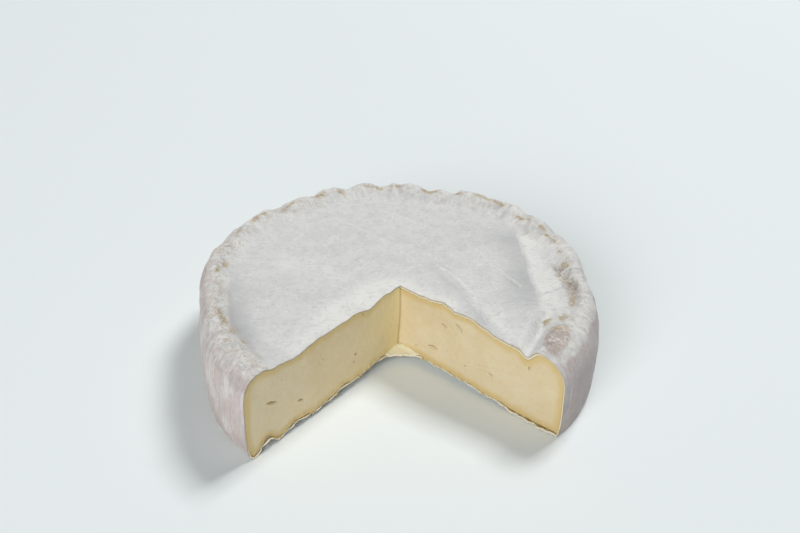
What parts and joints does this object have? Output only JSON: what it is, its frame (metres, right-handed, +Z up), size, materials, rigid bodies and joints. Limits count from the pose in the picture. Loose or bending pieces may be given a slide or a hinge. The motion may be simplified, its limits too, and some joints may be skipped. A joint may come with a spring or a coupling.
{
  "type": "cheese wheel with a wedge cut out",
  "caption": "Low round wheel of soft white-rinded cheese with a puckered rim and a right-angled wedge cut out, showing cream paste.",
  "frame": {"origin": "centre of the footprint, on the surface that the wheel lies on", "axes": "+Z up out of the top of the wheel; the open cut faces -Y; +X to the right of the cut as seen from the open side"},
  "size_m": [0.2124, 0.1932, 0.0512],
  "materials": {
    "rind": "matt velvety white mould rind, beige-pink on the side, tan on the crests of the rim",
    "paste": "smooth cream-yellow cut paste with a soft sheen, more golden beside the rind"
  },
  "bodies": {
    "root": {"cheese_wheel": "rind"}
  },
  "joints": []
}
